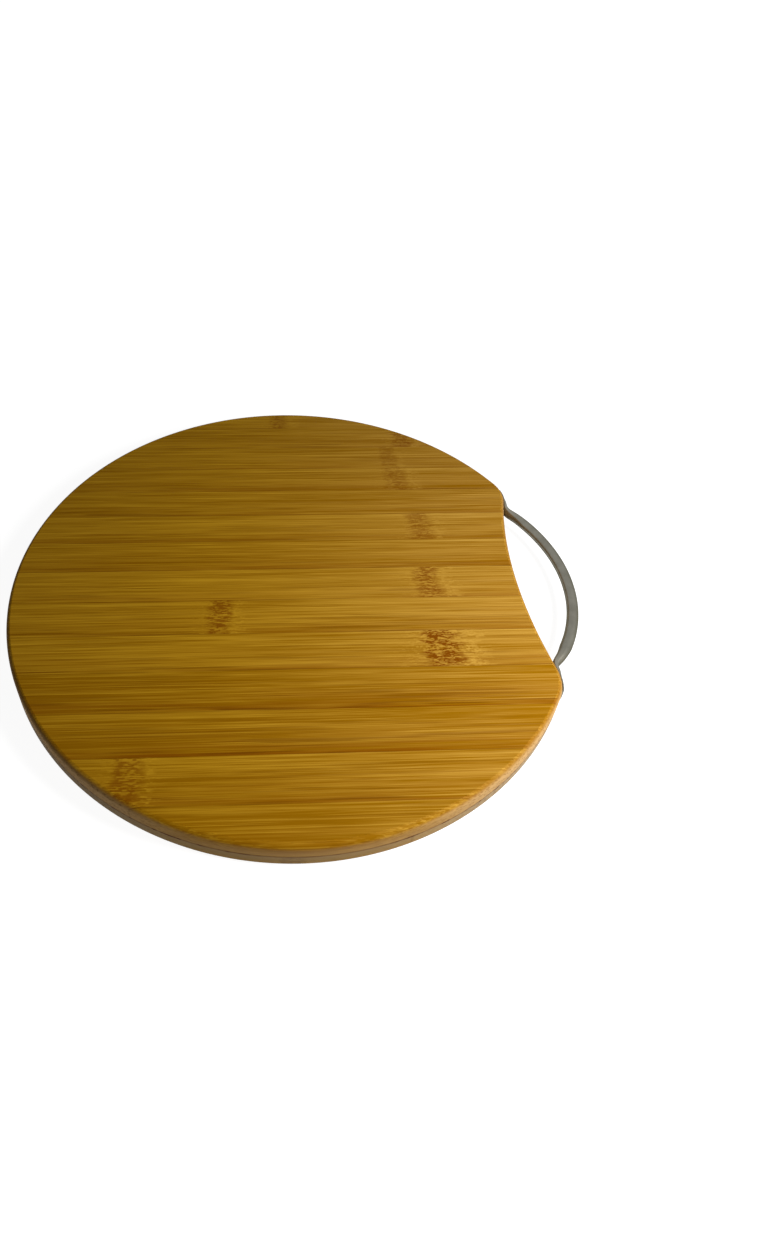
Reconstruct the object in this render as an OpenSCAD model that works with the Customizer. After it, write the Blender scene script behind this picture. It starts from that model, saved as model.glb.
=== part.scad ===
// Round bamboo cutting board with a steel bow handle.
// Two plies of glued strips are turned to a disc, and one side is cut back in a shallow concave curve.
// A bent tube with flattened ends spans the cut and leaves a gap for the fingers.
// The origin is the disc's centre on the resting face, +X points to the handle and +Z is up.

/* [Board] */
// Diameter of the round board
board_d = 300; // [260:5:400]
// Thickness of the upper ply, whose strips make the cutting face
upper_ply_t = 8; // [7:0.5:16]
// Thickness of the lower ply, whose strips make the resting face
lower_ply_t = 8; // [5:0.5:12]
// Radius of the round-over along the top and bottom edges
edge_r = 3; // [1:0.5:5]
// Height by which the round-over is cut too shallow, which leaves a fine arris round each face
edge_lift = 0.1; // [0.05:0.01:0.2]

/* [Bamboo strips] */
// Width of one planed strip
strip_w = 22; // [16:1:40]
// Narrowest strip that is still worth gluing at the rim
least_strip_w = 4; // [3:0.5:8]
// Angle of the strips to the handle's axis
grain_skew = 2.6; // [0:0.2:8]

/* [Handle cut] */
// Depth of the concave cut below the full round, on the handle's axis
cut_depth = 26; // [20:1:34]
// Radius of the concave cut
cut_r = 285; // [220:5:400]
// Radius of the rounded horns on both sides of the cut
horn_r = 22; // [16:1:30]
// Step by which the sanded horns stay proud of the rim and of the cut
horn_step = 0.05; // [0.03:0.01:0.1]

/* [Handle] */
// Outside diameter of the tube
tube_d = 6; // [5:0.1:7]
// Wall of the tube
tube_wall = 0.4; // [0.4:0.1:0.8]
// Clear gap for the fingers between the cut and the tube, on the handle's axis
finger_gap = 26.4; // [18:0.2:40]
// Height of the tube's centre above the resting face
handle_z = 10; // [9.6:0.2:12]
// Length of the tube that is squeezed from round to flat at each foot
squeeze_l = 12; // [8:0.5:16]
// Length of a flattened tab along its horn
tab_l = 11.5; // [11:0.5:16.5]
// Height of a flattened tab
tab_h = 7; // [7:0.2:10]
// Radius of a tab's rounded edges
tab_edge_r = 0.3; // [0.2:0.1:0.4]
// Gap between a tab and the wood that it lies on
seat_gap = 0.1; // [0.05:0.05:0.3]

/* [Screws] */
// Diameter of a screw's shank
screw_d = 3; // [2.4:0.1:3.2]
// Length of a screw from the top of its head to its tip
screw_l = 16; // [10:1:18]
// Length of a screw's point
point_l = 4; // [2:0.5:5]
// Diameter of the flat at the very tip of the point
tip_d = 0.6; // [0.4:0.1:1]
// Diameter of the countersunk head
head_d = 5; // [4.4:0.1:5.6]
// Depth of the head's cone, which is sunk in the tab
head_h = 0.7; // [0.5:0.1:0.7]
// Width of the cross recess
recess_w = 0.8; // [0.6:0.1:1]
// Length of each arm of the cross recess, tip to tip
recess_l = 2.6; // [2:0.1:2.6]
// Depth of the cross recess
recess_depth = 1.1; // [0.8:0.1:1.4]
// Clearance round a shank in its pilot hole
pilot_gap = 0.05; // [0.02:0.01:0.1]
// Clearance round a screw in the tab
tab_hole_gap = 0.08; // [0.04:0.02:0.12]

/* [Hidden] */
$fn = 180;
facet_fn = 32;
over = 1;
board_r = board_d / 2;
board_t = lower_ply_t + upper_ply_t;

// The cut's centre lies on the handle's axis, outside the board
cut_x = board_r - cut_depth + cut_r;

// A horn touches the rim from inside and the cut from outside
horn_to_board = board_r - horn_r;
horn_to_cut = cut_r + horn_r;
horn_x = (horn_to_board ^ 2 - horn_to_cut ^ 2 + cut_x ^ 2) / (2 * cut_x);
horn_y = sqrt(horn_to_board ^ 2 - horn_x ^ 2);

// Directions from the horn's centre to where it meets the rim and the cut
rim_a = atan2(horn_y, horn_x);
seat_a = -atan2(horn_y, cut_x - horn_x);

// The tab is the tube pressed flat, wall on wall
tab_t = 2 * tube_wall;
root = tube_wall / 2;
sanded_r = horn_r + horn_step;
tab_r = sanded_r + seat_gap;
tab_a = seat_a + arc_angle(tab_l, horn_r);
screw_a = seat_a + arc_angle(tab_l / 2, horn_r);
tab_face_r = tab_r + tab_t;

// The foot of the tube stands on the cut, just before the horn begins
foot_half_a = arc_angle(tube_d / 2, cut_r);
foot_a = -seat_a - foot_half_a;
foot_x = cut_x - cut_r * cos(foot_a);
foot_y = cut_r * sin(foot_a);

// The bow runs through both feet and keeps the finger gap on the axis
bow_top_x = board_r - cut_depth + finger_gap + tube_d / 2;
bow_rise = bow_top_x - foot_x;
bow_r = (bow_rise ^ 2 + foot_y ^ 2) / (2 * bow_rise);
bow_x = bow_top_x - bow_r;
bow_a = atan2(foot_y, foot_x - bow_x) - arc_angle(squeeze_l, bow_r);

// Strips on each side of the upper ply's middle seam and of the lower ply's middle strip
upper_half = ceil((board_r - least_strip_w) / strip_w);
lower_half = ceil((board_r - strip_w / 2 - least_strip_w) / strip_w);
upper_count = 2 * upper_half;
lower_count = 2 * lower_half + 1;

bamboo = "#AF8334";
bamboo_below = "#9A7338";
steel = "#8E8D84";
screw_steel = "#B9B9B4";

function arc_angle(length, radius) = length / radius * 180 / PI;

function strip_name(ply, i) = str(ply, "_strip_", i < 10 ? "0" : "", i);

// Repeats its children on the far and the near side of the handle's axis
module both_sides() {
    for (side = [0, 1]) mirror([0, side, 0]) children();
}

// Repeats its 2D children at the lower and, upside down, at the upper edge of a section of height h
module both_edges(h) {
    for (top = [0, 1]) translate([0, top * h]) mirror([0, top]) children();
}

// What a round-over of radius r takes off a corner at the origin of a shape in the +X +Y quarter;
// its centre is set closer to the face along X by lift
module corner_waste(r, lift) {
    difference() {
        translate([-over, -over]) square([r + over, r - lift + over]);
        translate([r, r - lift]) circle(r);
    }
}

// Half section of a disc of radius r with its top and bottom edges rounded over
module rounded_section(r) {
    difference() {
        square([r, board_t]);
        both_edges(board_t) translate([r, 0]) mirror([1, 0]) corner_waste(edge_r, edge_lift);
    }
}

// Half section of the tool that makes the concave cut and rounds its edges over
module cut_section() {
    translate([0, -over]) square([cut_r, board_t + 2 * over]);
    both_edges(board_t) translate([cut_r, 0]) corner_waste(edge_r, edge_lift);
}

// Wedge that holds the horn's outer corner; its flanks open from a point set back behind the horn's centre
module horn_wedge(back) {
    reach = 2 * horn_r;
    mid_a = (seat_a + rim_a) / 2;
    translate([horn_x - back * cos(mid_a), horn_y - back * sin(mid_a), -over])
        linear_extrude(board_t + 2 * over)
            polygon([[0, 0], reach * [cos(seat_a), sin(seat_a)], reach * [cos(rim_a), sin(rim_a)]]);
}

// The finished outline of the board, before it is divided into strips
module board_form() {
    difference() {
        rotate_extrude() rounded_section(board_r);
        translate([cut_x, 0, 0]) rotate_extrude() cut_section();
        both_sides() horn_wedge(0);
    }
    both_sides() intersection() {
        translate([horn_x, horn_y, 0]) rotate_extrude() rounded_section(sanded_r);
        horn_wedge(over);
    }
}

// Places its children on a horn with +Z along the screw's axis, the tab's outer face at z = 0
module at_screw() {
    translate([horn_x, horn_y, handle_z])
        rotate([0, 90, screw_a])
            translate([0, 0, tab_face_r])
                children();
}

// A screw's shank and point below the top of its head, grown by a clearance
module shank(gap) {
    full_d = screw_d + 2 * gap;
    translate([0, 0, point_l - screw_l]) cylinder(h = screw_l - point_l, d = full_d);
    translate([0, 0, -screw_l - gap]) cylinder(h = point_l + gap, d1 = tip_d + 2 * gap, d2 = full_d);
}

// The cone under a countersunk head, grown by a clearance
module head_cone(gap) {
    translate([0, 0, -head_h]) cylinder(h = head_h, d1 = screw_d + 2 * gap, d2 = head_d + 2 * gap);
}

// One strip of a ply: the part of the board between two seams, with the screws' pilot holes
module strip(y_low, y_high, z_low, z_high) {
    difference() {
        intersection() {
            board_form();
            rotate([0, 0, grain_skew])
                translate([-board_d, y_low, z_low])
                    cube([2 * board_d, y_high - y_low, z_high - z_low]);
        }
        both_sides() at_screw() shank(pilot_gap);
    }
}

// A strip of the upper ply, counted from the far rim; the outermost ones run out to the rim
module upper_strip(i) {
    y_high = i == 1 ? board_d : (upper_half + 1 - i) * strip_w;
    y_low = i == upper_count ? -board_d : (upper_half - i) * strip_w;
    color(bamboo) strip(y_low, y_high, lower_ply_t, board_t + over);
}

// A strip of the lower ply, staggered by half a strip so that no two seams meet
module lower_strip(i) {
    y_high = i == 1 ? board_d : (lower_half + 1.5 - i) * strip_w;
    y_low = i == lower_count ? -board_d : (lower_half + 0.5 - i) * strip_w;
    color(bamboo_below) strip(y_low, y_high, -over, lower_ply_t);
}

// Section of the pressed-flat tube where it lies on a horn
module tab_section() {
    translate([tab_r, handle_z - tab_h / 2])
        difference() {
            square([tab_t, tab_h]);
            both_edges(tab_h) {
                corner_waste(tab_edge_r, 0);
                translate([tab_t, 0]) mirror([1, 0]) corner_waste(tab_edge_r, 0);
            }
        }
}

// Flattened end of the tube, wrapped on the horn
module tab() {
    translate([horn_x, horn_y, 0])
        rotate([0, 0, seat_a])
            rotate_extrude(angle = tab_a - seat_a)
                tab_section();
}

// The squeezed length between the round tube and the tab, rooted inside both
module foot() {
    hull() {
        translate([bow_x, 0, handle_z])
            rotate([0, 0, bow_a])
                translate([bow_r, 0, 0])
                    rotate([-90, 0, 0])
                        cylinder(h = root, d = tube_d - root, $fn = facet_fn);
        translate([foot_x, foot_y, handle_z])
            rotate([0, 0, -foot_a])
                translate([seat_gap + root, -tube_d / 2, -tab_h / 2 + root])
                    cube([root, tube_d + tab_t, tab_h - 2 * root]);
    }
}

// The bowed tube, hollow between its feet
module bow() {
    end_a = bow_a + arc_angle(tube_wall, bow_r);
    translate([bow_x, 0, handle_z])
        rotate([0, 0, -end_a])
            rotate_extrude(angle = 2 * end_a)
                translate([bow_r, 0])
                    difference() {
                        circle(d = tube_d);
                        circle(d = tube_d - 2 * tube_wall);
                    }
}

module handle() {
    color(steel) difference() {
        union() {
            bow();
            both_sides() {
                foot();
                tab();
            }
        }
        both_sides() at_screw() {
            translate([0, 0, -tab_t - over])
                cylinder(h = tab_t + 2 * over, d = screw_d + 2 * tab_hole_gap);
            head_cone(tab_hole_gap);
            cylinder(h = over, d = head_d + 2 * tab_hole_gap);
        }
    }
}

// One countersunk screw with a cross recess
module screw() {
    difference() {
        union() {
            shank(0);
            head_cone(0);
        }
        for (turn = [0, 90])
            rotate([0, 0, turn])
                translate([-recess_l / 2, -recess_w / 2, -recess_depth])
                    cube([recess_l, recess_w, recess_depth + over]);
    }
}

module handle_screws() {
    color(screw_steel) both_sides() at_screw() screw();
}

for (i = [1:upper_count])
    upper_strip(i);
for (i = [1:lower_count])
    lower_strip(i);
handle();
handle_screws();
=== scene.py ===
import math

import bpy
from mathutils import Matrix, Vector


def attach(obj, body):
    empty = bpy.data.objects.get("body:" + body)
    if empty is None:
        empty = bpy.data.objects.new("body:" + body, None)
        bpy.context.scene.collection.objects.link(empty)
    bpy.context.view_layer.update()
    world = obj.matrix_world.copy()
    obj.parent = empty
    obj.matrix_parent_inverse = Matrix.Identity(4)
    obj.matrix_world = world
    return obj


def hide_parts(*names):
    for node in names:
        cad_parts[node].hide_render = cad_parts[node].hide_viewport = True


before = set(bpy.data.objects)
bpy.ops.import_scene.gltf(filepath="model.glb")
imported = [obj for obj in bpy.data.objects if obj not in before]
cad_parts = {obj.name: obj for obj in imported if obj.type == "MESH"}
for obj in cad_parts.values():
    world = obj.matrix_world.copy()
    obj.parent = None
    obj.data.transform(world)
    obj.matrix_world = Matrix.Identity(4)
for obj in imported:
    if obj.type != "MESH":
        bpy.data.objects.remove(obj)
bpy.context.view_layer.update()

# Lower ply of bamboo strips.
# Fifteen planed strips, glued edge to edge, make the resting half of the board. They lie half a strip
# aside from the strips above them, and the glued blank is cut to the board's outline and rounded over.
board_r = 0.150
board_t = 0.016
glue_z = 0.008
edge_r = 0.003
arris_lift = 0.0001
strip_w = 0.022
grain_skew = math.radians(2.6)
cut_depth = 0.026
cut_r = 0.285
cut_x = board_r - cut_depth + cut_r
horn_r = 0.022
horn_d = board_r - horn_r
horn_x = (horn_d**2 - (cut_r + horn_r)**2 + cut_x**2) / (2 * cut_x)
horn_y = math.sqrt(horn_d**2 - horn_x**2)
rim_a = math.atan2(horn_y, horn_x)
seat_a = -math.atan2(horn_y, cut_x - horn_x)
tab_l = 0.0115
tab_mid_a = seat_a + tab_l / 2 / horn_r
handle_z = 0.010
pilot_d = 0.0031
pilot_l = 0.015


class Wire:
    """A socket of a node tree: sums on it add Math nodes, and node() adds any other node."""

    def __init__(self, tree, socket=None):
        self.tree = tree
        self.socket = socket

    def node(self, kind, sockets=None, out=0, **settings):
        made = self.tree.nodes.new(kind)
        for name, value in settings.items():
            setattr(made, name, value)
        self.feed(made, sockets or {})
        return Wire(self.tree, made.outputs[out] if len(made.outputs) else None)

    def feed(self, node, sockets):
        """Wires are linked to a node's sockets, each one of a list too, and plain values are set on them."""
        for key, value in sockets.items():
            for one in value if isinstance(value, list) else [value]:
                if isinstance(one, Wire):
                    self.tree.links.new(one.socket, node.inputs[key])
                else:
                    node.inputs[key].default_value = one

    def other(self, out):
        return Wire(self.tree, self.socket.node.outputs[out])

    def math(self, operation, *values):
        return self.node("ShaderNodeMath", dict(enumerate((self, *values))), operation=operation)

    def __add__(self, value):
        return self.math("ADD", value)

    __radd__ = __add__

    def __sub__(self, value):
        return self.math("SUBTRACT", value)

    def __rsub__(self, value):
        return self.node("ShaderNodeMath", {0: value, 1: self}, operation="SUBTRACT")

    def __mul__(self, value):
        return self.math("MULTIPLY", value)

    __rmul__ = __mul__

    def __truediv__(self, value):
        return self.math("DIVIDE", value)

    def __pow__(self, value):
        return self.math("POWER", value)

    def __abs__(self):
        return self.math("ABSOLUTE")

    def __gt__(self, value):
        return self.math("GREATER_THAN", value)

    def __lt__(self, value):
        return self.math("LESS_THAN", value)

    def least(self, value):
        return self.math("MINIMUM", value)

    def most(self, value):
        return self.math("MAXIMUM", value)

    def root(self):
        return self.most(0).math("SQRT")

    def rise(self, low, high):
        """0 at low and 1 at high, smooth between them."""
        ends = {"Value": self, "From Min": low, "From Max": high}
        return self.node("ShaderNodeMapRange", ends, interpolation_type="SMOOTHSTEP")

    def blend(self, first, second):
        """The colour first where this is 0 and second where it is 1."""
        return self.node("ShaderNodeMix", {0: self, 6: first, 7: second}, out=2, data_type="RGBA")

    def xyz(self):
        apart = self.node("ShaderNodeSeparateXYZ", {0: self})
        return apart, apart.other(1), apart.other(2)

    def vector(self, x, y, z):
        return self.node("ShaderNodeCombineXYZ", {0: x, 1: y, 2: z})

    def vectors(self, operation, *values):
        return self.node("ShaderNodeVectorMath", dict(enumerate((self, *values))), operation=operation)

    def cloud(self, scale, detail=2.0, roughness=0.5):
        """Smooth noise between about 0.25 and 0.75 at the place that this vector gives."""
        values = {"Vector": self, "Scale": scale, "Detail": detail, "Roughness": roughness}
        return self.node("ShaderNodeTexNoise", values)


def shape_tree(name, sizes, along=None):
    """A geometry tree with an input for each size, and the wires from its inputs."""
    tree = bpy.data.node_groups.new(name, "GeometryNodeTree")
    if along:
        tree.interface.new_socket(along, in_out="INPUT", socket_type="NodeSocketGeometry")
    for key, value in sizes.items():
        kind = "NodeSocketVector" if isinstance(value, tuple) else "NodeSocketFloat"
        tree.interface.new_socket(key, in_out="INPUT", socket_type=kind).default_value = value
    tree.interface.new_socket("Finish", in_out="INPUT", socket_type="NodeSocketMaterial")
    tree.interface.new_socket("Shape", in_out="OUTPUT", socket_type="NodeSocketGeometry")
    start = Wire(tree).node("NodeGroupInput")
    return tree, {socket.name: Wire(tree, socket) for socket in start.socket.node.outputs if socket.name}


def end_tree(shape, finish, sharp_a):
    """Smooth faces with sharp edges past an angle, instances made real, the finish on."""
    smooth = shape.node("GeometryNodeSetShadeSmooth", {"Geometry": shape}, domain="FACE")
    sharp = shape.node("GeometryNodeInputMeshEdgeAngle") > sharp_a
    creased = shape.node(
        "GeometryNodeSetShadeSmooth",
        {"Geometry": smooth, "Selection": sharp, "Shade Smooth": False},
        domain="EDGE",
    )
    real = shape.node("GeometryNodeRealizeInstances", {"Geometry": creased})
    done = shape.node("GeometryNodeSetMaterial", {"Geometry": real, "Material": finish})
    shape.node("NodeGroupOutput", {0: done})


def grown(name, tree, values, base=None):
    """A piece with a plain mesh, grown by a geometry tree from a base mesh."""
    maker = bpy.data.objects.new(name + "_maker", base or bpy.data.meshes.new(name + "_base"))
    bpy.context.scene.collection.objects.link(maker)
    shaping = maker.modifiers.new("shape", "NODES")
    shaping.node_group = tree
    for socket in tree.interface.items_tree:
        if socket.in_out == "INPUT" and socket.name in values:
            shaping[socket.identifier] = values[socket.name]
    depsgraph = bpy.context.evaluated_depsgraph_get()
    mesh = bpy.data.meshes.new_from_object(
        maker.evaluated_get(depsgraph), preserve_all_data_layers=True, depsgraph=depsgraph
    )
    maker.modifiers.remove(shaping)
    bpy.data.objects.remove(maker)
    mesh.name = name
    piece = bpy.data.objects.new(name, mesh)
    bpy.context.scene.collection.objects.link(piece)
    return piece


def paint(red, green, blue):
    """A colour as it looks on a screen, 0 to 255, in Blender's linear values."""
    straight = [c / 12.92 if c <= 0.04045 else ((c + 0.055) / 1.055) ** 2.4
                for c in (red / 255, green / 255, blue / 255)]
    return (*straight, 1.0)


def stored(shape, name, value, data_type="FLOAT_VECTOR"):
    """The shape with a value kept on its points under a name."""
    values = {"Geometry": shape, "Name": name, "Value": value}
    return shape.node("GeometryNodeStoreNamedAttribute", values, data_type=data_type, domain="POINT")


rim_points = 1440
arc_rings = 12
drill_sides = 32
saw_l = 4 * board_r
saw_h = 4 * board_t
strip_sharp_a = math.radians(9)
strip_tree, size = shape_tree("bamboo strip", {
    "Low seam": 0.0,
    "High seam": strip_w,
    "Glue face": glue_z,
    "Open face": board_t,
    "Board radius": board_r,
    "Round-over": edge_r,
    "Arris lift": arris_lift,
    "Cut centre": cut_x,
    "Cut radius": cut_r,
    "Horn radius": horn_r,
    "Grain skew": grain_skew,
    "Pilot diameter": pilot_d,
    "Pilot length": pilot_l,
    "Nature": (0.0, 0.5, 0.5),
    "Knuckle": (0.0, 0.0, 10.0),
})
wire = Wire(strip_tree)

# A unit cylinder becomes the whole ply: its first ring is the glue face's, the next is where the
# round-over begins, and the last is where the round-over meets the open face.
blank = wire.node(
    "GeometryNodeMeshCylinder",
    {"Vertices": rim_points, "Side Segments": arc_rings + 1, "Radius": 1.0, "Depth": 1.0},
    fill_type="NGON",
)
blank_x, blank_y, blank_z = wire.node("GeometryNodeInputPosition").xyz()
turn = blank_y.math("ARCTAN2", blank_x)
upper = size["Open face"] > size["Glue face"]
facing = upper * 2 - 1
ring = ((blank_z * facing + 0.5) * (arc_rings + 1)).math("ROUND")
arc_end = ((size["Round-over"] - size["Arris lift"]) / size["Round-over"]).math("ARCSINE")
arc = (ring - 1).most(0) / arc_rings * arc_end
inset = size["Round-over"] * (1 - arc.math("COSINE"))
arc_z = size["Open face"] + facing * (
    size["Round-over"] * arc.math("SINE") - size["Round-over"] + size["Arris lift"]
)
at_glue = ring < 0.5
ring_z = at_glue * size["Glue face"] + (1 - at_glue) * arc_z
side = abs(turn)
ring_horn_r = size["Horn radius"] - inset
from_horn = side - rim_a
horn_reach = size["Board radius"] - size["Horn radius"]
to_horn = horn_reach * from_horn.math("COSINE") + (
    ring_horn_r**2 - (horn_reach * from_horn.math("SINE")) ** 2
).root()
to_cut = size["Cut centre"] * side.math("COSINE") - (
    (size["Cut radius"] + inset) ** 2 - (size["Cut centre"] * side.math("SINE")) ** 2
).root()
seat_turn = (ring_horn_r * math.sin(seat_a) + horn_y).math(
    "ARCTAN2", ring_horn_r * math.cos(seat_a) + horn_x
)
on_rim = side > rim_a
on_horn = side > seat_turn
reach = on_rim * (size["Board radius"] - inset) + (1 - on_rim) * (
    on_horn * to_horn + (1 - on_horn) * to_cut
)
ply = wire.node("GeometryNodeSetPosition", {
    "Geometry": blank,
    "Position": wire.vector(reach * turn.math("COSINE"), reach * turn.math("SINE"), ring_z),
})

# The strip is what the ply has between two seams, less the screws' pilot holes.
middle = (size["Low seam"] + size["High seam"]) / 2
saw = wire.node("GeometryNodeTransform", {
    "Geometry": wire.node("GeometryNodeMeshCube", {
        "Size": wire.vector(saw_l, size["High seam"] - size["Low seam"], saw_h),
    }),
    "Translation": wire.vector(
        -1 * middle * size["Grain skew"].math("SINE"), middle * size["Grain skew"].math("COSINE"), glue_z
    ),
    "Rotation": wire.vector(0.0, 0.0, size["Grain skew"]),
})
sawn = wire.node("GeometryNodeMeshBoolean", {1: [ply, saw]}, operation="INTERSECT", solver="MANIFOLD")
drill = wire.node("GeometryNodeMeshCylinder", {
    "Vertices": drill_sides, "Radius": size["Pilot diameter"] / 2, "Depth": size["Pilot length"] * 2,
})


def on_tab(tool, reach, way):
    """A tool laid along a tab's screw, its origin at a reach from the horn's centre, on side 1 or -1."""
    return tool.node("GeometryNodeTransform", {
        "Geometry": tool,
        "Translation": (
            horn_x + reach * math.cos(tab_mid_a), way * (horn_y + reach * math.sin(tab_mid_a)), handle_z,
        ),
        "Rotation": (0.0, math.pi / 2, way * tab_mid_a),
    })


drills = [on_tab(drill, horn_r, way) for way in (1, -1)]
drilled = wire.node(
    "GeometryNodeMeshBoolean", {0: sawn, 1: drills}, operation="DIFFERENCE", solver="MANIFOLD"
)
marked = stored(drilled, "strip_seams", wire.vector(size["Low seam"], size["High seam"], 0.0))
marked = stored(stored(marked, "strip_nature", size["Nature"]), "strip_knuckle", size["Knuckle"])
end_tree(marked, size["Finish"], strip_sharp_a)


def new_finish(name):
    """A new material, with its shader and a wire for its other nodes."""
    material = bpy.data.materials.new(name)
    material.use_nodes = True
    return material, material.node_tree.nodes["Principled BSDF"], Wire(material.node_tree)


def bamboo(name, straw, gold, amber, fibre, knuckle, seam, rim, rim_painted_shade, rim_fibre, glue):
    """Bamboo as a solid: long fibre bundles along the strip, which show as dots where it is cut across.

    Lengths in it are millimetres, apart from the seams' places and the bump's depth, which are metres.
    """
    material, shader, wire = new_finish(name)
    per_metre = 1000.0
    place = wire.node("ShaderNodeMapping", {
        "Vector": wire.node("ShaderNodeTexCoord", out="Object"),
        "Rotation": (0.0, 0.0, -grain_skew),
        "Scale": (per_metre, per_metre, per_metre),
    })
    along, across, up = place.xyz()

    def strip_values(key):
        """The three numbers that a strip's points keep under a name."""
        return wire.node("ShaderNodeAttribute", out="Vector", attribute_name=key).xyz()

    low_seam, high_seam, _ = strip_values("strip_seams")
    seed, tone, density = strip_values("strip_nature")
    knuckle_x, knuckle_depth, knuckle_l = strip_values("strip_knuckle")

    # Each strip reads the noise on a lane of its own.
    lane_w = 37.7
    lane = seed * lane_w

    def wander(along_rate, across_rate, detail):
        """Noise about 0, with a number of waves in a millimetre along the strip and across it."""
        spot = wire.vector(along * along_rate + lane, across * across_rate, up * across_rate)
        return spot.cloud(1.0, detail) - 0.5

    # Distances from the knuckle are in its half lengths, and its ends are ragged.
    ragged = wander(along_rate=0.10, across_rate=0.22, detail=3.0)
    from_knuckle = (along - knuckle_x) / knuckle_l + ragged * 1.3
    off_knuckle = abs(from_knuckle)
    knot = off_knuckle.rise(1.0, 0.35) * knuckle_depth
    near_knuckle = off_knuckle.rise(2.6, 0.3) * knuckle_depth
    beyond_knuckle = from_knuckle.rise(0.7, 1.0) * from_knuckle.rise(2.0, 1.2) * knuckle_depth

    # The fibres drift slowly along the strip and curl round its knuckle.
    drift_w = 0.7
    curl_w = 2.0
    drift = wander(along_rate=0.006, across_rate=0.02, detail=1.0)
    curl = wander(along_rate=0.22, across_rate=0.25, detail=2.0)
    bend = drift * drift_w + curl * near_knuckle * curl_w
    lie = across + bend
    depth = up + bend * 0.15

    def threads(pitch, run, detail=2.0):
        """Straight threads about a pitch wide, each fading in and out of its own accord along its run."""
        cut_across = wire.vector(lie / pitch + lane, depth / pitch + lane * 0.7, 0.0)
        first, second, _ = wire.node(
            "ShaderNodeTexVoronoi", {"Vector": cut_across, "Scale": 1.0}, out="Color", voronoi_dimensions="2D"
        ).xyz()
        first_spread = 91
        second_spread = 83
        spot = wire.vector(along / run + first * first_spread, second * second_spread, lane)
        return spot.cloud(1.0, detail, roughness=0.6)

    band = threads(pitch=4.6, run=170.0, detail=1.0)
    streak = threads(pitch=1.6, run=80.0)
    fine = threads(pitch=0.55, run=100.0, detail=3.0)
    hair = threads(pitch=0.32, run=60.0)
    bundles = threads(pitch=0.7, run=80.0).rise(0.54, 0.66)
    dash = threads(pitch=0.55, run=4.5)

    # The face: cane between gold and straw, with a painted sheen that pales it towards the handle, with
    # darker fibres packed towards the near seam, then the knuckle's dashes, and pale cane between them and
    # beyond them.
    width = (across / per_metre - low_seam) / strip_w
    near_side = (1 - width).most(0).least(1)
    packed = (near_side * 0.40 + near_side**6 * 0.45) * density
    light = tone
    for thread, contrast in ((band, 0.8), (streak, 0.6), (fine, 2.1), (hair, 1.8)):
        light = light + (thread - 0.5) * contrast
    # Painted sheen: the straw is blended towards the rim's paler colour along the strip, most towards the
    # handle.
    painted_sheen_from = -60.0
    painted_sheen_to = 140.0
    painted_sheen = 0.34
    cane_with_painted_sheen = (along.rise(painted_sheen_from, painted_sheen_to) * painted_sheen).blend(straw, rim)
    body = light.most(0).least(1).blend(gold, cane_with_painted_sheen)
    body = (packed * (0.2 + streak.rise(0.35, 0.65) * 0.7)).least(1).blend(body, amber)
    body = (bundles * (0.14 + packed * 0.4)).least(1).blend(body, fibre)
    body = (knot * (0.22 + dash.rise(0.46, 0.54) * 0.8)).least(1).blend(body, knuckle)
    body = (near_knuckle * dash.rise(0.47, 0.38) * 0.5).blend(body, cane_with_painted_sheen)
    body = (beyond_knuckle * dash.rise(0.54, 0.42) * 0.6).blend(body, cane_with_painted_sheen)

    # The rim and the round-over: paler, with painted shade on the round, with pores where the fibres are cut
    # across.
    normal = wire.node("ShaderNodeNewGeometry", out="Normal")
    _, _, tip = normal.xyz()
    grain_way = (math.cos(grain_skew), math.sin(grain_skew), 0.0)
    with_grain = normal.vectors("DOT_PRODUCT", grain_way).other("Value")
    crosscut = (abs(with_grain) / (1 - tip * tip).root().most(0.05)).rise(0.05, 0.60)
    rounded = (1 - abs(tip)).rise(0.50 - crosscut * 0.48, 1.0 - crosscut * 0.50)
    off_glue = up - glue_z * per_metre
    to_glue = abs(off_glue).rise(6.5, 1.5)
    pore = wire.node("ShaderNodeTexVoronoi", {
        "Vector": wire.vector(lie, depth, along * 0.08), "Scale": 1.0,
    }).rise(0.50, 0.18)
    # Painted shade: the round-over is darkened as it tips towards the top, and the upright wall keeps the
    # rim's colour.
    edge = abs(tip).rise(0.15, 0.85).blend(rim, rim_painted_shade)
    edge = (pore * (0.12 + crosscut * 0.60)).blend(edge, rim_fibre)
    colour = (rounded * crosscut.most(0.25 + to_glue * 0.35)).blend(body, edge)

    # Glue shows in patches as a dark line, between the strips and between the plies.
    seam_half_w = 0.34
    seam_core = 0.06
    glue_half_w = 0.75
    glue_core = 0.30
    to_seam = abs(across / per_metre - low_seam).least(abs(across / per_metre - high_seam)) * per_metre
    glue_patch = wire.vector(along * 0.03, across * 0.6, 0.0).cloud(1.0, 2.0)
    in_seam = to_seam.rise(seam_half_w, seam_core)
    seam_line = in_seam * (0.10 + glue_patch.rise(0.35, 0.65) * 0.4) * (1 - rounded * 0.6)
    colour = seam_line.blend(colour, seam)
    glue_line = abs(off_glue + (glue_patch - 0.5) * 0.4).rise(glue_half_w, glue_core)
    colour = (glue_line * (0.45 + glue_patch.rise(0.45, 0.65) * 0.55)).blend(colour, glue)

    relief = streak * 0.4 + fine * 0.5 - bundles * 0.4 - seam_line * 0.6
    wire.feed(shader, {
        "Base Color": colour,
        "Roughness": 0.44 + (1 - streak) * 0.16 + bundles * 0.06 + rounded * 0.10,
        "Normal": wire.node("ShaderNodeBump", {"Height": relief, "Strength": 0.16, "Distance": 0.0003}),
        "Specular IOR Level": 0.025,
    })
    return material


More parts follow.
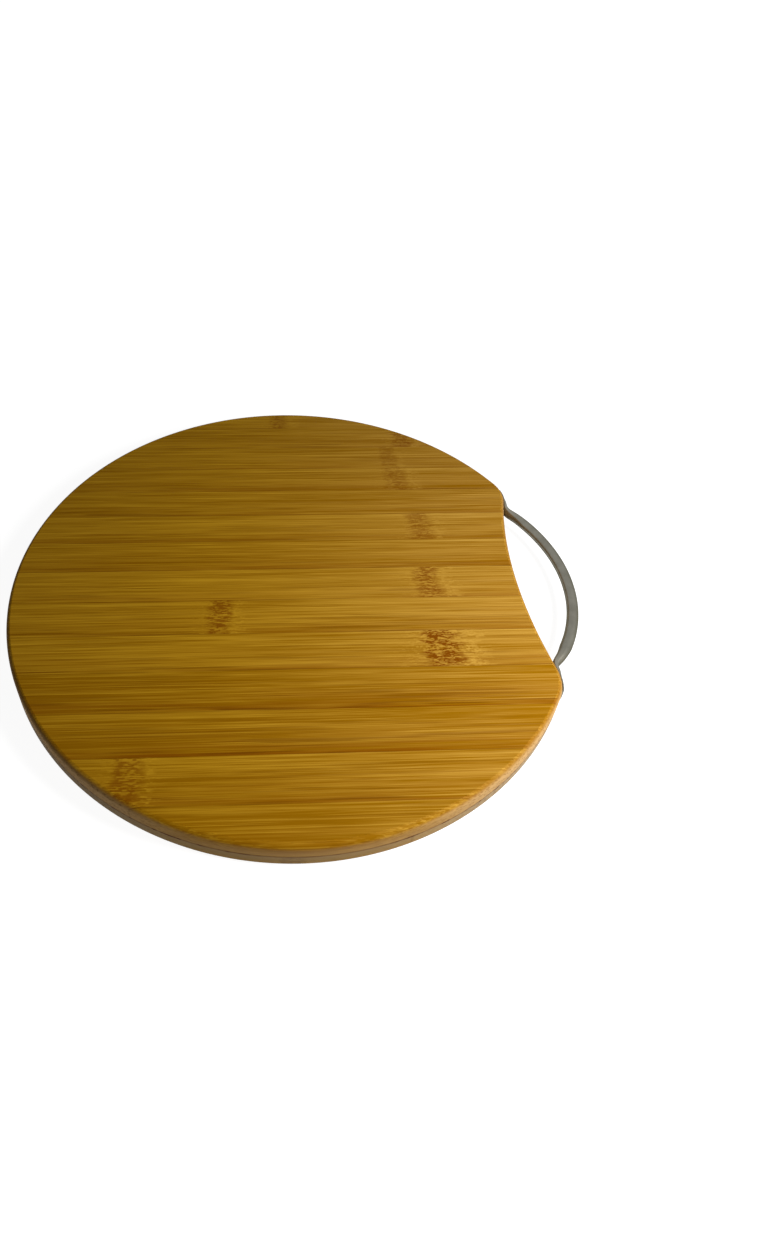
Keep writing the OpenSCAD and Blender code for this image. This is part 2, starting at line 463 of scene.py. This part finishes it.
def lay_strip(ply, number, low, glue, open_face, wood, nature, knuckle):
    """One glued strip in place, standing for its CAD node.

    Its nature is a seed, a tone and the density of its fibres. Its knuckle is a place along the strip,
    a depth of colour and a half length, and these lengths are millimetres.
    """
    node = f"{ply}_strip_{number:02d}"
    piece = grown(node + "_bamboo", strip_tree, {
        "Low seam": low,
        "High seam": low + strip_w,
        "Glue face": glue,
        "Open face": open_face,
        "Nature": nature,
        "Knuckle": knuckle,
        "Finish": wood,
    })
    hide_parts(node)
    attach(piece, "root")


lower_wood = bamboo(
    "bamboo below", straw=paint(178, 140, 72), gold=paint(156, 116, 44), amber=paint(132, 92, 30),
    fibre=paint(98, 64, 20), knuckle=paint(112, 72, 22), seam=paint(84, 52, 18),
    # The second rim colour is painted shade for the round-over.
    rim=paint(160, 136, 102), rim_painted_shade=paint(140, 114, 76), rim_fibre=paint(118, 94, 64),
    glue=paint(88, 52, 28),
)
lower_strips = 15
lower_knuckle_depth = 0.9
for i in range(lower_strips):
    seed = 3.7 + 1.31 * i
    tone = 0.35 + 0.3 * math.sin(2.1 * i)
    density = 0.5 + 0.3 * math.sin(1.3 * i)
    knuckle_x = 110 * math.sin(2.4 * i + 1)
    knuckle_l = 9.0 + 2 * math.sin(1.7 * i)
    lay_strip(
        "lower", i + 1, (lower_strips / 2 - 1 - i) * strip_w, glue_z, 0.0, lower_wood,
        (seed, tone, density), (knuckle_x, lower_knuckle_depth, knuckle_l),
    )

# Upper ply of bamboo strips.
# Fourteen strips make the cutting face. Each is paler on its far side and packed with dark fibres towards
# the seam in front, and nine of them hold a knuckle, where the cane had a joint and its fibres curl.
upper_wood = bamboo(
    "bamboo above", straw=paint(192, 145, 30), gold=paint(142, 96, 2), amber=paint(128, 75, 1),
    fibre=paint(96, 52, 1), knuckle=paint(118, 63, 2), seam=paint(84, 44, 2),
    # The second rim colour is painted shade for the round-over.
    rim=paint(184, 147, 96), rim_painted_shade=paint(148, 110, 56), rim_fibre=paint(132, 96, 50),
    glue=paint(88, 50, 24),
)
upper_tones = (0.56, 0.40, 0.44, 0.42, 0.42, 0.54, 0.42, 0.54, 0.52, 0.48, 0.28, 0.24, 0.32, 0.20)
upper_density = (0.5, 0.7, 0.7, 0.9, 0.8, 0.8, 1.0, 0.8, 0.9, 1.0, 1.5, 1.5, 1.1, 1.2)
no_knuckle = (0.0, 0.0, 9.0)
knuckles = {
    1: (-4.0, 0.6, 8.0),
    2: (78.0, 0.6, 9.0),
    3: (67.0, 0.4, 7.0),
    4: (69.0, 0.5, 9.0),
    6: (77.0, 0.55, 9.0),
    8: (74.0, 0.75, 9.0),
    9: (-38.0, 0.75, 8.0),
    10: (74.0, 1.2, 12.0),
    13: (-74.0, 0.6, 8.0),
}
for i, (tone, density) in enumerate(zip(upper_tones, upper_density)):
    seed = 1.0 + 1.93 * i
    lay_strip(
        "upper", i + 1, (len(upper_tones) / 2 - 1 - i) * strip_w, glue_z, board_t, upper_wood,
        (seed, tone, density), knuckles.get(i + 1, no_knuckle),
    )

# Bow handle.
# One stainless tube, bent to a shallow bow across the cut. Each end is pressed flat where it meets the
# wood and wrapped round the horn as a tab, with a hole for its screw.
tube_d = 0.006
tube_wall = 0.0004
tab_t = 2 * tube_wall
tab_h = 0.007
seat_gap = 0.00015
finger_gap = 0.0264
squeeze_l = 0.012
press_start = -0.005
press_end = 0.0158
press_ease = 1.2
press_square = 0.62
bend_pull = 0.45
screw_d = 0.003
head_d = 0.005
head_h = 0.0007
tab_hole_gap = 0.00008
sliver_w = 0.000005
tab_r = horn_r + seat_gap + tab_t / 2
tab_face_r = tab_r + tab_t / 2
foot_a = -seat_a - tube_d / 2 / cut_r
foot_x = cut_x - cut_r * math.cos(foot_a)
foot_y = cut_r * math.sin(foot_a)
bow_top_x = board_r - cut_depth + finger_gap + tube_d / 2
bow_rise = bow_top_x - foot_x
bow_r = (bow_rise**2 + foot_y**2) / (2 * bow_rise)
bow_x = bow_top_x - bow_r
bow_a = math.atan2(foot_y, foot_x - bow_x) - squeeze_l / bow_r
bow_steps = 60
squeeze_steps = 30
tab_steps = 24
hoop_points = 64
hole_sides = 64
punch_l = 6 * tab_t
tube_sharp_a = math.radians(35)


def press_at(run):
    """How far the tube is pressed flat at a distance past where its squeeze begins, and how thick it is."""
    press = min(1.0, max(0.0, (run - press_start) / (press_end - press_start))) ** press_ease
    return press, tube_d * (1 - press) + tab_t * press


def on_horn_at(run):
    """The centre line's point where it lies on the horn, at a distance from where the squeeze begins."""
    press, thick = press_at(run)
    a = seat_a + (run - squeeze_l) / horn_r
    reach = horn_r + seat_gap + thick / 2
    return horn_x + reach * math.cos(a), horn_y + reach * math.sin(a), press


def bow_half():
    """Points of half the handle's centre line, from its middle to the end of a tab, each with its press."""
    points = []
    for i in range(bow_steps + 1):
        a = bow_a * i / bow_steps
        press, _ = press_at((a - bow_a) * bow_r)
        points.append((bow_x + bow_r * math.cos(a), bow_r * math.sin(a), press))
    leave = points[-1]
    arrive = on_horn_at(squeeze_l)
    pull = bend_pull * math.dist(leave[:2], arrive[:2])
    off_bow = (leave[0] - pull * math.sin(bow_a), leave[1] + pull * math.cos(bow_a))
    onto_horn = (arrive[0] + pull * math.sin(seat_a), arrive[1] - pull * math.cos(seat_a))
    bends = (leave, off_bow, onto_horn, arrive)
    for i in range(1, squeeze_steps + 1):
        t = i / squeeze_steps
        press, thick = press_at(squeeze_l * t)
        shares = ((1 - t)**3, 3 * t * (1 - t)**2, 3 * t * t * (1 - t), t**3)
        x, y = (sum(share * point[k] for share, point in zip(shares, bends)) for k in (0, 1))
        clear = cut_r - seat_gap - thick / 2
        far = math.dist((x, y), (cut_x, 0))
        if far > clear:
            x, y = cut_x + (x - cut_x) * clear / far, y * clear / far
        points.append((x, y, press))
    points += [on_horn_at(squeeze_l + tab_l * i / tab_steps) for i in range(1, tab_steps + 1)]
    return points


half = bow_half()
course = [(x, -y, press) for x, y, press in reversed(half[1:])] + half
spine = bpy.data.meshes.new("handle_spine")
spine.from_pydata([(x, y, handle_z) for x, y, _ in course], [(i, i + 1) for i in range(len(course) - 1)], [])
spine.attributes.new("press", "FLOAT", "POINT").data.foreach_set("value", [press for _, _, press in course])

tube_tree, size = shape_tree("pressed tube", {
    "Tube diameter": tube_d,
    "Tab thickness": tab_t,
    "Tab height": tab_h,
    "Screw diameter": screw_d,
    "Head diameter": head_d,
    "Head depth": head_h,
    "Hole gap": tab_hole_gap,
}, along="Spine")
wire = Wire(tube_tree)
line = wire.node("GeometryNodeMeshToCurve", {"Mesh": size["Spine"]})
line = stored(line, "spine", wire.node("GeometryNodeInputPosition"))
line = stored(line, "course", wire.node("GeometryNodeInputTangent"))
line = stored(line, "run", wire.node("GeometryNodeSplineParameter", out="Length"), "FLOAT")
hoop = wire.node("GeometryNodeCurvePrimitiveCircle", {"Resolution": hoop_points, "Radius": 1.0})
hoop = stored(hoop, "hoop", wire.node("GeometryNodeInputPosition"))
swept = wire.node("GeometryNodeCurveToMesh", {"Curve": line, "Profile Curve": hoop, "Fill Caps": True})


def kept(name, data_type="FLOAT_VECTOR"):
    """The value that the tube's points keep under a name."""
    return wire.node("GeometryNodeInputNamedAttribute", {"Name": name}, data_type=data_type)


press = kept("press", "FLOAT")
flat_x, flat_z, _ = kept("hoop").xyz()
square = 1 - press * press_square


def squared(value):
    """A hoop coordinate pushed towards a flat oval's, as the press squares the section."""
    return value.math("SIGN") * abs(value) ** square


half_t = (size["Tube diameter"] * (1 - press) + size["Tab thickness"] * press) / 2
half_h = (size["Tube diameter"] * (1 - press) + size["Tab height"] * press) / 2
outward = kept("course").vectors("CROSS_PRODUCT", (0.0, 0.0, 1.0)).vectors("NORMALIZE")
sideways = outward.node(
    "ShaderNodeVectorMath", {0: outward, "Scale": squared(flat_x) * half_t}, operation="SCALE")
pressed = wire.node("GeometryNodeSetPosition", {
    "Geometry": swept,
    "Position": kept("spine").vectors("ADD", sideways).vectors(
        "ADD", wire.vector(0.0, 0.0, squared(flat_z) * half_h)),
})
pressed = stored(pressed, "tube_run", wire.vector(
    kept("run", "FLOAT"), flat_z.math("ARCTAN2", flat_x), press))
for name in ("spine", "course", "hoop", "run", "press"):
    pressed = wire.node("GeometryNodeRemoveAttribute", {"Geometry": pressed, "Name": name})

# The sink begins where the head's cone ends and goes on as far again past the tab's face.
hole_r = size["Screw diameter"] / 2 + size["Hole gap"]
head_r = size["Head diameter"] / 2 + size["Hole gap"]
punch = wire.node("GeometryNodeMeshCylinder", {"Vertices": hole_sides, "Radius": hole_r, "Depth": punch_l})
sink = wire.node("GeometryNodeMeshCone", {
    "Vertices": hole_sides,
    "Radius Bottom": hole_r,
    "Radius Top": hole_r + (head_r - hole_r) * 2,
    "Depth": size["Head depth"] * 2,
})
punches = [
    on_tab(tool, reach, way)
    for tool, reach in ((punch, tab_r), (sink, tab_face_r - head_h))
    for way in (1, -1)
]
punched = wire.node(
    "GeometryNodeMeshBoolean", {0: pressed, 1: punches}, operation="DIFFERENCE", solver="MANIFOLD")
cleaned = wire.node("GeometryNodeMergeByDistance", {"Geometry": punched, "Distance": sliver_w})
end_tree(cleaned, size["Finish"], tube_sharp_a)

# The steel has fine drawn lines along the tube and faint smudges, and a painted reflection makes it brighter
# where it is pressed.
satin, shader, wire = new_finish("satin steel")
run, around, press = wire.node("ShaderNodeAttribute", out="Vector", attribute_name="tube_run").xyz()
spot = wire.node("ShaderNodeTexCoord", out="Object")
lines_along = 60
lines_around = 9
lines = wire.vector(
    run * lines_along, around.math("COSINE") * lines_around, around.math("SINE") * lines_around
).cloud(1.0, 3.0, 0.7)
smudge = spot.cloud(160.0, 3.0)
steel = smudge.rise(0.3, 0.7).blend(paint(118, 116, 106), paint(128, 126, 116))
steel = (lines.rise(0.55, 0.75) * 0.3).blend(steel, paint(98, 96, 87))
# Painted reflection: the pressed ends are lightened towards a pale brownish grey, as if they mirrored the lit
# wood.
steel = (press.rise(0.1, 0.5) * press.rise(1.0, 0.9) * 0.4).blend(steel, paint(158, 152, 138))
wire.feed(shader, {
    "Base Color": steel,
    "Roughness": 0.32 + (lines - 0.5) * 0.2 + (smudge - 0.5) * 0.1 + press * 0.05,
    "Normal": wire.node("ShaderNodeBump", {"Height": lines, "Strength": 0.08, "Distance": 0.0001}),
    "Metallic": 1.0,
    "Specular Tint": paint(150, 148, 138),
})

handle = grown("bow_handle", tube_tree, {"Finish": satin}, spine)
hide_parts("handle")
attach(handle, "root")

# Handle screws.
# Two plated countersunk wood screws, one through each tab into the horn behind it. The head lies flush in
# the steel, its recess is a cross, and the thread is cut down to the point.
screw_l = 0.016
point_l = 0.004
tip_d = 0.0006
recess_w = 0.0008
recess_l = 0.0026
recess_depth = 0.0011
recess_taper = 0.3
thread_pitch = 0.0012
thread_share = 0.24
thread_start = 0.0014
stop_turn = 9.0
screw_rings = 240
screw_sides = 48
screw_sharp_a = math.radians(30)

screw_tree, size = shape_tree("countersunk screw", {
    "Shank diameter": screw_d,
    "Screw length": screw_l,
    "Point length": point_l,
    "Tip diameter": tip_d,
    "Head diameter": head_d,
    "Head depth": head_h,
    "Thread pitch": thread_pitch,
}, along="Seats")
wire = Wire(screw_tree)
spot = wire.node("GeometryNodeInputPosition")
spot_x, spot_y, spot_z = spot.xyz()
turn = spot_y.math("ARCTAN2", spot_x)
sunk = (0.5 - spot_z) * size["Screw length"]
full_r = size["Shank diameter"] / 2
tip_r = size["Tip diameter"] / 2
point_r = (tip_r + (size["Screw length"] - sunk) / size["Point length"] * (full_r - tip_r)).least(full_r)
climb = (sunk / size["Thread pitch"] + turn / (2 * math.pi)).math("FRACT")
ridge = (1 - abs(climb - 0.5) * 4).most(0)
threaded = sunk.rise(thread_start, thread_start + thread_pitch / 2)
shank_r = point_r * (1 - thread_share * threaded * (1 - ridge))
cone_r = size["Head diameter"] / 2 - sunk / size["Head depth"] * (size["Head diameter"] / 2 - full_r)
screw_r = shank_r.most(cone_r)
screw = wire.node("GeometryNodeSetPosition", {
    "Geometry": wire.node(
        "GeometryNodeMeshCylinder",
        {"Vertices": screw_sides, "Side Segments": screw_rings, "Radius": 1.0, "Depth": 1.0},
        fill_type="NGON"),
    "Position": wire.vector(screw_r * turn.math("COSINE"), screw_r * turn.math("SINE"), -1 * sunk),
})
taper = 1 - recess_taper / 2 + recess_taper * spot_z
arms = [
    wire.node("GeometryNodeSetPosition", {
        "Geometry": wire.node("GeometryNodeMeshCube", {"Size": (1.0, 1.0, 1.0)}),
        "Position": wire.vector(
            spot_x * taper * length, spot_y * taper * width, spot_z * 2 * recess_depth),
    })
    for length, width in ((recess_l, recess_w), (recess_w, recess_l))
]
screw = wire.node("GeometryNodeMeshBoolean", {0: screw, 1: arms}, operation="DIFFERENCE", solver="MANIFOLD")
outward = spot.vectors("SUBTRACT", wire.vector(horn_x, spot_y.math("SIGN") * horn_y, handle_z))
twist = wire.node("FunctionNodeEulerToRotation", {0: wire.vector(0.0, 0.0, spot_y * stop_turn)})
aim = wire.node("FunctionNodeAlignRotationToVector", {"Rotation": twist, "Vector": outward}, axis="Z")
pair = wire.node("GeometryNodeInstanceOnPoints", {
    "Points": size["Seats"], "Instance": screw, "Rotation": aim,
})
end_tree(wire.node("GeometryNodeRealizeInstances", {"Geometry": pair}), size["Finish"], screw_sharp_a)

plated, shader, wire = new_finish("plated steel")
spot = wire.node("ShaderNodeTexCoord", out="Object")
grainy = spot.cloud(2600.0, 3.0)
cloudy = spot.cloud(500.0, 2.0)
plate = cloudy.rise(0.35, 0.65).blend(paint(176, 176, 170), paint(202, 202, 198))
plate = (grainy.rise(0.58, 0.72) * 0.3).blend(plate, paint(140, 139, 132))
wire.feed(shader, {
    "Base Color": plate,
    "Roughness": 0.22 + (grainy - 0.5) * 0.25,
    "Normal": wire.node("ShaderNodeBump", {"Height": grainy, "Strength": 0.06, "Distance": 0.0001}),
    "Metallic": 1.0,
})

seats = bpy.data.meshes.new("screw_seats")
seats.from_pydata([
    (horn_x + tab_face_r * math.cos(tab_mid_a), way * (horn_y + tab_face_r * math.sin(tab_mid_a)), handle_z)
    for way in (1, -1)
], [], [])
screws = grown("tab_screws", screw_tree, {"Finish": plated}, seats)
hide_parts("handle_screws")
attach(screws, "root")

# Floor, light and camera.
# The board lies on a white studio table. A soft lamp hangs to its right, a weaker one stands low in
# front, and the table and the pale room fill the shadows. The camera is in front and looks down on it.
floor_half = 8.0
white = (1.0, 1.0, 1.0, 1.0)
table_grey = (0.25, 0.25, 0.25, 1.0)
table_light = 0.28
table_seen = 0.65
table_far_seen = 0.10
table_far_from = 0.22
table_far_to = 0.6
room_light = 0.08
room_seen = 0.92


def seen_in(wire):
    """1 for the rays by which the camera, metal or glass sees a surface, and 0 for other rays."""
    rays = wire.node("ShaderNodeLightPath")
    glossy = rays.other("Is Glossy Ray")
    through = rays.other("Is Transmission Ray")
    return rays.other("Is Camera Ray").most(glossy).most(through)


floor_mesh = bpy.data.meshes.new("studio_floor")
corners = [(floor_half * x, floor_half * y, 0) for x, y in ((-1, -1), (1, -1), (1, 1), (-1, 1))]
floor_mesh.from_pydata(corners, [], [(0, 1, 2, 3)])
floor = bpy.data.objects.new("studio_floor", floor_mesh)
bpy.context.scene.collection.objects.link(floor)
table = bpy.data.materials.new("white table")
table.use_nodes = True
table.node_tree.nodes.clear()
wire = Wire(table.node_tree)
from_middle = wire.node("ShaderNodeTexCoord", out="Object").vectors("LENGTH").other("Value")
away = from_middle.rise(table_far_from, table_far_to)
table_glow = table_light + seen_in(wire) * (table_seen + away * table_far_seen)
glow = wire.node("ShaderNodeEmission", {"Color": white, "Strength": table_glow})
matt = wire.node("ShaderNodeBsdfDiffuse", {"Color": table_grey})
wire.node("ShaderNodeOutputMaterial", {"Surface": wire.node("ShaderNodeAddShader", {0: glow, 1: matt})})
floor_mesh.materials.append(table)

room = bpy.data.worlds.new("pale room")
bpy.context.scene.world = room
room.use_nodes = True
room.node_tree.nodes.clear()
wire = Wire(room.node_tree)
room_glow = room_light + seen_in(wire) * room_seen
sky = wire.node("ShaderNodeBackground", {"Color": white, "Strength": room_glow})
wire.node("ShaderNodeOutputWorld", {"Surface": sky})


def hang_lamp(name, place, aim, size, energy):
    """A round soft lamp at a place, turned to what it lights."""
    lamp = bpy.data.lights.new(name, "AREA")
    lamp.shape = "DISK"
    lamp.size = size
    lamp.energy = energy
    holder = bpy.data.objects.new(name, lamp)
    bpy.context.scene.collection.objects.link(holder)
    turn = (Vector(place) - Vector(aim)).to_track_quat("Z", "Y").to_matrix().to_4x4()
    holder.matrix_world = Matrix.Translation(place) @ turn
    holder.visible_camera = False


hang_lamp("key_lamp", place=(0.305, -0.168, 0.285), aim=(0.02, -0.01, board_t), size=0.16, energy=2.38)
hang_lamp("front_card", place=(0.42, -0.54, 0.10), aim=(0.05, -0.12, board_t / 2), size=0.30, energy=0.75)

image_w = 760
image_h = 1240
focal_px = 750
axis_px_x = 295
axis_px_y = 460
sensor_w = 36.0
near_clip = 0.01
camera_place = (-0.00123, -0.28765, 0.31832)
camera_turn = -0.0071
camera_dip = 0.6661
camera_roll = 0.0231
camera = bpy.data.cameras.new("camera")
camera.sensor_width = sensor_w
camera.lens = sensor_w * focal_px / image_h
camera.shift_x = (image_w / 2 - axis_px_x) / image_h
camera.shift_y = (axis_px_y - image_h / 2) / image_h
camera.clip_start = near_clip
camera_object = bpy.data.objects.new("camera", camera)
bpy.context.scene.collection.objects.link(camera_object)
camera_object.matrix_world = (
    Matrix.Translation(camera_place)
    @ Matrix.Rotation(camera_turn, 4, "Z")
    @ Matrix.Rotation(math.pi / 2 - camera_dip, 4, "X")
    @ Matrix.Rotation(camera_roll, 4, "Z")
)
bpy.context.scene.camera = camera_object
bpy.context.scene.view_settings.view_transform = "Standard"
